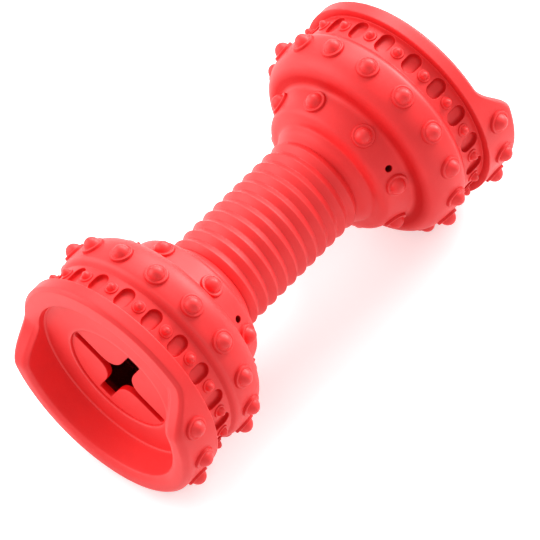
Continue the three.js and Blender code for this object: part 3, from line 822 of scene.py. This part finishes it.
# Painted shade on the rim's back, darkest near the channel.
REAR_SHADE = (0, -0.8, -0.3, 0)
spigot_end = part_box("far_end_cup")[0].x / MM
rim_rear = rounded(
    (tread_high, CHANNEL_RADIUS), (RIM_BACK, CHANNEL_RADIUS, RIM_SOFTNESS),
    (RIM_BACK, BAND_RADIUS, RIM_SOFTNESS), (rim_low, BAND_RADIUS))
rear_radii = (CHANNEL_RADIUS, CHANNEL_RADIUS + 0.3, BAND_RADIUS - 0.5, BAND_RADIUS - 0.1)
rear_shade = np.interp(rim_rear[:, 1:], rear_radii, REAR_SHADE)
cup_inside = spaced(rounded(
    (floor_front - SEAM_DEPTH, VALVE_SEAM), (floor_back, VALVE_SEAM, 0.2),
    (floor_back, chamber_radius, 1.0), (spigot_end, chamber_radius, 0.3), (spigot_end, spigot_radius, 0.3),
    (channel_start, spigot_radius), (channel_start, CHANNEL_RADIUS), (tread_low, CHANNEL_RADIUS)),
    INSIDE_STEP)
# The hollow's painted dark shade stops at its two ends.
at_seam = (cup_inside[:, :1] > floor_back) | (cup_inside[:, 1:] > chamber_radius)
cup_grids = [
    lip_grid, np.stack(rim_cells), rim_plain, np.stack(pockets), np.stack(small_studs),
    turned(rim_rear, painted_light=rear_shade), turned(cup_inside, painted_light=np.where(at_seam, 0, INSIDE))]
for head, hand in HEADS.items():
    cup = skin(f"{head}_cup_skin", cup_grids, rubber, hand)
    stands_for(cup, f"{head}_end_cup")

# %% [markdown]
# ## Valve
# The floor of the mouth is a soft disc with a cross-shaped slot: a slit that flares into a window. The
# disc is made as a fixed ring and four flaps. They could be cut from a cylinder, but drawing a quarter
# of the slot and mirroring it gives four flaps that are alike and a ring that fits their root lines.

# %% Valve outline
slit_direction = raised_middle - np.pi / 4
slit_axis = np.array([np.cos(slit_direction), np.sin(slit_direction)])
window_axis = np.array([-slit_axis[1], slit_axis[0]])
SLIT_TIP = np.array([18.9, 1.8])
WINDOW_CORNER = np.array([2.5, 17.2])
FLARE_ALONG_SLIT = 6.3
FLARE_ALONG_WINDOW = 9.0
FLARE_STEPS = 24
FLAP_COLUMNS = 49
valve_back, valve_front = (corner.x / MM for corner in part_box("far_valve_ring"))
disc_thickness = valve_front - floor_back
root_line = SLIT_TIP + np.linspace(0, 1, FLAP_COLUMNS)[:, None] * (WINDOW_CORNER - SLIT_TIP)


def on_valve(spots, station, painted_light=0):
    """Points of the disc: spots hold the distances along the slit and along the window."""
    along, across = spots[..., 0], spots[..., 1]
    y, z = (along * slit_axis[i] + across * window_axis[i] for i in (0, 1))
    return np.stack(np.broadcast_arrays(station, y, z, painted_light), -1).astype(float)


def flap_edge(count):
    """The slot's side of a flap: along the slit, round the flared corner and along the window."""
    flare = (WINDOW_CORNER[0], SLIT_TIP[1], (FLARE_ALONG_SLIT, FLARE_ALONG_WINDOW), FLARE_STEPS)
    path = rounded(tuple(SLIT_TIP), flare, tuple(WINDOW_CORNER))
    along = np.linspace(0, 1, count) * lengths(path)[-1]
    return np.stack([np.interp(along, lengths(path), path[:, i]) for i in (0, 1)], 1)


print("valve from", floor_back, "to", valve_front)
print("slit runs at", round(np.degrees(slit_direction), 2), "degrees")

# %% [markdown]
# A flap meets the ring along a straight root line. Rubber bends instead of hinging. The ends of a bend
# over the first few millimetres are worked out, but the skin is only made in place and isn't tied to the
# flap's body or the ring's. Rows of points run between the root and the slot's edge.

# %% Flaps
FLAP_ROWS = 17
EDGE_ROUND = 0.25
BEND_END = 4.2
inward = np.array([SLIT_TIP[1] - WINDOW_CORNER[1], WINDOW_CORNER[0] - SLIT_TIP[0]])
inward = inward / np.linalg.norm(inward)
root_middle = (SLIT_TIP + WINDOW_CORNER) / 2
bend_ends = np.stack([root_middle, root_middle + inward * BEND_END])


def flap_grid(signs):
    """Closed loop of rows from the root across the front, over the rounded edge, back along the rear and
    up the root. A row lies at a share of the way from the root line to the slot's edge."""
    to_edge = flap_edge(FLAP_COLUMNS) - root_line
    span = np.linalg.norm(to_edge, axis=1, keepdims=True)
    way = to_edge / np.maximum(span, 1e-9)
    curl = np.minimum(EDGE_ROUND, span / 3)
    face = np.linspace(0, 1, FLAP_ROWS)[:, None, None] * (span - curl)
    quarter = np.linspace(0, np.pi / 2, 6)[1:, None, None]
    over = span - curl + curl * np.sin(quarter)
    drop = curl * (1 - np.cos(quarter))
    reach = np.concatenate([face, over, over[::-1], face[::-1], face[:1]])
    level = 0 * face
    depth = np.concatenate([
        level, drop, disc_thickness - drop[::-1], level + disc_thickness, level[:1]])[..., 0]
    # Painted shade over the rounded edge, on the slot's walls and on the flap's back.
    painted_light = -np.minimum(1, depth / EDGE_ROUND)
    return on_valve((root_line + way * reach) * signs, valve_front - depth, painted_light)


for head, hand in HEADS.items():
    for i in range(1, 5):
        node = f"{head}_flap_{i}"
        low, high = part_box(node)
        spot = np.array([(low.y + high.y) / 2 / MM, (low.z + high.z) / 2 / MM - axis_height])
        signs = np.sign([spot @ slit_axis, spot @ window_axis])
        flap = skin(f"{node}_skin", [flap_grid(signs)], valve_rubber, hand)
        ends = in_frame(on_valve(bend_ends * signs, valve_front)[:, :3], hand)
        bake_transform(flap)
        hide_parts(node)

# %% [markdown]
# The ring holds the flaps, and its flange keeps it behind the floor of the mouth. A Boolean could cut
# the cross out of a disc, but here the opening's edge is a loop of points, and each row of the ring is
# that loop or the same points pushed outwards.

# %% Valve rings
VALVE_EDGE = VALVE_SEAM - SEAM_GAP
VALVE_EDGE_ROUND = 0.2
TIP_ROUND = 0.4
TIP_POINTS = 4
WINDOW_POINTS = 5
RING_INNER = 18.7
flange_radius = (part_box("far_valve_ring")[1].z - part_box("far_valve_ring")[0].z) / 2 / MM


def ring_opening():
    """The ring's inner edge as a loop, and how far its front is rounded at each point. A quarter runs
    round half of the slit's tip, along the root line and half of the window's end, and is mirrored."""
    tip = np.linspace(0, np.pi / 2, TIP_POINTS + 1)[:-1]
    round_tip = np.stack([SLIT_TIP[0] + TIP_ROUND * np.cos(tip), SLIT_TIP[1] * np.sin(tip)], 1)
    window = np.stack([np.linspace(1, 0, WINDOW_POINTS + 1)[1:], np.ones(WINDOW_POINTS)], 1) * WINDOW_CORNER
    quarter = np.concatenate([round_tip, root_line, window])
    half = np.concatenate([quarter, quarter[::-1][1:] * (-1, 1)])
    soft = np.concatenate([
        np.ones(TIP_POINTS - 1), [0.5], np.zeros(FLAP_COLUMNS), [0.5], np.ones(WINDOW_POINTS - 1)])
    soft = np.concatenate([soft, soft[::-1][1:]])
    soft = np.concatenate([soft, soft[::-1][1:]])
    return np.concatenate([half, half[::-1][1:] * (1, -1)]), soft[:, None] * EDGE_ROUND


def ring_grid():
    """Rows from the valve's outer edge across its front to the opening, down and back along the flange."""
    inner, curl = ring_opening()
    distance = np.linalg.norm(inner, axis=1, keepdims=True)
    out = inner / distance
    rim, neck, flange = out * VALVE_EDGE, out * np.maximum(distance, RING_INNER), out * flange_radius
    start = rim - out * VALVE_EDGE_ROUND
    face = start + np.linspace(0, 1, 5)[:, None, None] * (inner + out * curl - start)
    quarter = np.linspace(0, np.pi / 2, 5)[1:, None, None]
    over = inner + out * curl * (1 - np.sin(quarter))
    drop = (curl * (1 - np.cos(quarter)))[..., 0]
    flange_front = floor_back - FIT
    corners = [
        # Painted shade behind the opening and the darker painted shade on the flange inside; the front and
        # rim are plain.
        (inner, floor_back, HOLLOW), (neck, floor_back, HOLLOW), (neck, floor_back - 0.5, HOLLOW),
        (neck, floor_back - 0.6, INSIDE), (neck, valve_back, INSIDE), (flange, valve_back, INSIDE),
        (flange, flange_front, INSIDE), (rim, flange_front, 0), (rim, valve_front - VALVE_EDGE_ROUND, 0),
        (start, valve_front, 0)]
    places, stations, painted_shades = zip(*corners)
    level = np.zeros(face.shape[:2])
    behind = np.zeros((len(corners), len(inner)))
    station = valve_front - np.concatenate([level, drop, behind + valve_front - np.c_[list(stations)]])
    # Painted shade over the rounded edge of the opening.
    painted_light = np.concatenate([level, -np.minimum(1, drop / EDGE_ROUND), behind + np.c_[list(painted_shades)]])
    return on_valve(np.concatenate([face, over, places]), station, painted_light)


for head, hand in HEADS.items():
    ring = skin(f"{head}_valve_ring_skin", [ring_grid()], valve_rubber, hand)
    stands_for(ring, f"{head}_valve_ring")

# %% [markdown]
# ## Inside the heads
# Little of this shows, and only through the slot from one side: a bulkhead in each head, and in it a
# small squeaker with its plate and reed. The squeaker is plain white plastic and its reed a thin film.
# Even such plastic isn't one flat colour, so soft noise clouds it towards an aged one.

# %% Plastic and film materials
PLASTIC_WHITE = (0.78, 0.76, 0.72, 1)
PLASTIC_AGED = (0.70, 0.67, 0.60, 1)
FILM = (0.58, 0.56, 0.48, 1)
CLOUD_SCALE = 300


def plastic_material(name, fresh, roughness):
    """A pale plastic that clouds a little towards its aged colour, and gets rougher there."""
    material = bpy.data.materials.new(name)
    g = Graph(material)
    cloud = noise(g, CLOUD_SCALE, 3)
    surface = g.node("ShaderNodeBsdfPrincipled", {}, {
        "Base Color": mixed(cloud, fresh, PLASTIC_AGED), "Roughness": roughness + cloud * 0.1})
    g.node("ShaderNodeOutputMaterial", {}, {"Surface": surface})
    return material


white_plastic = plastic_material("white_plastic", PLASTIC_WHITE, roughness=0.35)
reed_film = plastic_material("reed_film", FILM, roughness=0.22)
print("plastics:", white_plastic.name, reed_film.name)

# %% [markdown]
# The bulkhead is a thick rubber washer that closes the air chamber, and the barrel is a short tube with
# a flange, pushed through it. Both are turned from one closed outline each, in wider steps than the
# pieces that show.

# %% Bulkheads and squeaker barrels
INNER_COLUMNS = 5
BARREL_RADIUS = 6.0
BARREL_BORE = 4.4
FLANGE_THICKNESS = 1.5
SOFT = 0.25
WASHER_SOFT = 0.4


def ends_and_radius(node):
    """First and last station of a turned piece of the frame, and its largest radius."""
    low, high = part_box(node)
    return low.x / MM, high.x / MM, (high.z - low.z) / 2 / MM


barrel_rear, barrel_front, barrel_flange = ends_and_radius("far_squeaker_barrel")
flange_seat = bulkhead_back - FIT
flange_rear = flange_seat - FLANGE_THICKNESS
washer_start = (bulkhead_back, chamber_radius - 3)
bulkhead_outline = rounded(
    washer_start, (bulkhead_back, chamber_radius, WASHER_SOFT),
    (bulkhead_front, chamber_radius, WASHER_SOFT), (bulkhead_front, BARREL_RADIUS + FIT, WASHER_SOFT),
    (bulkhead_back, BARREL_RADIUS + FIT, WASHER_SOFT), washer_start)
barrel_start = (barrel_front - 1, BARREL_RADIUS)
barrel_outline = rounded(
    barrel_start, (flange_seat, BARREL_RADIUS, SOFT), (flange_seat, barrel_flange, SOFT),
    (flange_rear, barrel_flange, SOFT), (flange_rear, BARREL_RADIUS, SOFT),
    (barrel_rear, BARREL_RADIUS, SOFT), (barrel_rear, BARREL_BORE, SOFT), (barrel_front, BARREL_BORE, SOFT),
    (barrel_front, BARREL_RADIUS, SOFT), barrel_start)
for head, hand in HEADS.items():
    for node, outline, material, slot in (
            ("bulkhead", bulkhead_outline, rubber, "rubber"),
            ("squeaker_barrel", barrel_outline, white_plastic, "white_plastic")):
        # The rubber bulkhead gets the inside's darker painted shade; the plastic's material doesn't read
        # it.
        grid = turned(outline, step=INNER_COLUMNS, painted_light=INSIDE)
        piece = skin(f"{head}_{node}_skin", [grid], material, hand)
        stands_for(piece, f"{head}_{node}")

# %% [markdown]
# The reed is a strip of film that beats over a slot in its plate and makes the squeak. Both are flat, so
# they could be extruded outlines. Here they are closed stacks of loops, from a small loop to a large one
# and back, which rounds their edges in the same step.

# %% Reed plates and reeds
LOOP = 65
SLOT_HALF = np.array([1.0, 2.2])
PLATE_EDGE = 0.2
PLATE_FACE = 0.95
REED_EDGE = 0.1
REED_FACE = 0.94
plate_back, plate_front, plate_radius = ends_and_radius("far_reed_plate")
reed_low, reed_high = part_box("far_reed")
reed_back, reed_front = reed_low.x / MM, reed_high.x / MM
reed_half = np.array([(reed_high.y - reed_low.y) / 2, (reed_high.z - reed_low.z) / 2]) / MM
reed_middle = (reed_high.z + reed_low.z) / 2 / MM - axis_height


def round_box(half, power):
    """A closed loop of [y, z] points: a circle squared off by a power and scaled to the half sizes."""
    around_loop = np.linspace(0, 2 * np.pi, LOOP)
    c, s = np.round([np.cos(around_loop), np.sin(around_loop)], 9)
    return np.stack([np.sign(c) * np.abs(c) ** power, np.sign(s) * np.abs(s) ** power], 1) * half


def stacked(loops, stations, shift=0):
    """A grid whose rows are loops, each at its station and shifted up."""
    flat = np.stack(loops) + (0, shift)
    parts = (np.c_[list(stations)], flat[..., 0], flat[..., 1], 0)
    return np.stack(np.broadcast_arrays(*parts), -1).astype(float)


slot_loop = round_box(SLOT_HALF, 0.3)
plate_loop = round_box(plate_radius, 1)
plate = stacked(
    [slot_loop, plate_loop * PLATE_FACE, plate_loop, plate_loop, plate_loop * PLATE_FACE, slot_loop,
     slot_loop],
    [plate_front, plate_front, plate_front - PLATE_EDGE, plate_back + PLATE_EDGE, plate_back, plate_back,
     plate_front])
reed_loop = round_box(reed_half, 0.2)
reed = stacked(
    [reed_loop * 0, reed_loop * REED_FACE, reed_loop, reed_loop, reed_loop * REED_FACE, reed_loop * 0],
    [reed_front, reed_front, reed_front - REED_EDGE, reed_back + REED_EDGE, reed_back, reed_back],
    reed_middle)
for head, hand in HEADS.items():
    piece = skin(f"{head}_reed_plate_skin", [plate], white_plastic, hand)
    stands_for(piece, f"{head}_reed_plate")
    piece = skin(f"{head}_reed_skin", [reed], reed_film, hand)
    stands_for(piece, f"{head}_reed", f"{head}_reed")

# %% [markdown]
# ## Floor
# The toy lies on a plain pale floor. Brighter lamps would make it white, but they would bleach the toy
# as well. So the floor glows a little, and only for the rays that show it: straight to the camera,
# mirrored, or through something clear. It still takes the toy's soft shadow, and lights the toy from
# below as a pale floor does.

# %% Floor
FLOOR_HALF = 3.0
FLOOR_GREY = (0.8, 0.8, 0.8, 1)
WHITE = (1, 1, 1, 1)
FLOOR_GLOW = 0.45


def shown(g):
    """1 for camera, glossy and transmission rays, which show a background, and 0 for those that light."""
    kinds = ("Is Camera Ray", "Is Glossy Ray", "Is Transmission Ray")
    straight, mirrored, through = (g.node("ShaderNodeLightPath", output=kind) for kind in kinds)
    return clamped(straight + mirrored + through)


floor_corners = np.array([(-1, -1, 0), (1, -1, 0), (1, 1, 0), (-1, 1, 0)]) * FLOOR_HALF
floor_mesh = bpy.data.meshes.new("floor")
floor_mesh.from_pydata(floor_corners.tolist(), [], [(0, 1, 2, 3)])
floor = bpy.data.objects.new("floor", floor_mesh)
bpy.context.collection.objects.link(floor)

pale_floor = bpy.data.materials.new("pale_floor")
g = Graph(pale_floor)
matte = g.node("ShaderNodeBsdfDiffuse", {}, {"Color": FLOOR_GREY})
glow = g.node("ShaderNodeEmission", {}, {"Color": WHITE, "Strength": FLOOR_GLOW})
lit = g.node("ShaderNodeAddShader", {}, {0: matte, 1: glow})
surface = g.node("ShaderNodeMixShader", {}, {0: shown(g), 1: matte, 2: lit})
g.node("ShaderNodeOutputMaterial", {}, {"Surface": surface})
floor_mesh.materials.append(pale_floor)
print("floor of", 2 * FLOOR_HALF, "m")

# %% [markdown]
# ## Light
# The world is white where it shows and weaker where it lights, so it fills the shadows without washing
# out the red. Three round soft lamps, above and behind, at the left and at the right, give the ribs and
# studs their gentle shading. Larger lamps would blur the studs' edges, and smaller ones would harden the
# shadow. Each is aimed at the middle of the toy's place on the floor.

# %% World and lamps
WORLD_STRENGTH = 0.64
LAMPS = {
    "above": ((0.60, 0.38, 0.70), 0.5, 6.8),
    "left": ((-0.41, 0.63, 0.47), 0.8, 5.4),
    "right": ((0.90, -0.10, 0.50), 0.5, 11.5),
}

world = bpy.data.worlds.new("studio")
bpy.context.scene.world = world
g = Graph(world)
fill = g.node("ShaderNodeBackground", {}, {"Color": WHITE, "Strength": WORLD_STRENGTH})
bright = g.node("ShaderNodeBackground", {}, {"Color": WHITE, "Strength": 1})
backdrop = g.node("ShaderNodeMixShader", {}, {0: shown(g), 1: fill, 2: bright})
g.node("ShaderNodeOutputWorld", {}, {"Surface": backdrop})

for name, (place, size, watts) in LAMPS.items():
    lamp = bpy.data.lights.new(name, "AREA")
    lamp.shape = "DISK"
    lamp.size = size
    lamp.energy = watts
    holder = bpy.data.objects.new(name, lamp)
    holder.location = place
    holder.rotation_euler = (-Vector(place)).to_track_quat("-Z", "Y").to_euler()
    bpy.context.collection.objects.link(holder)
print("lamps:", ", ".join(LAMPS))
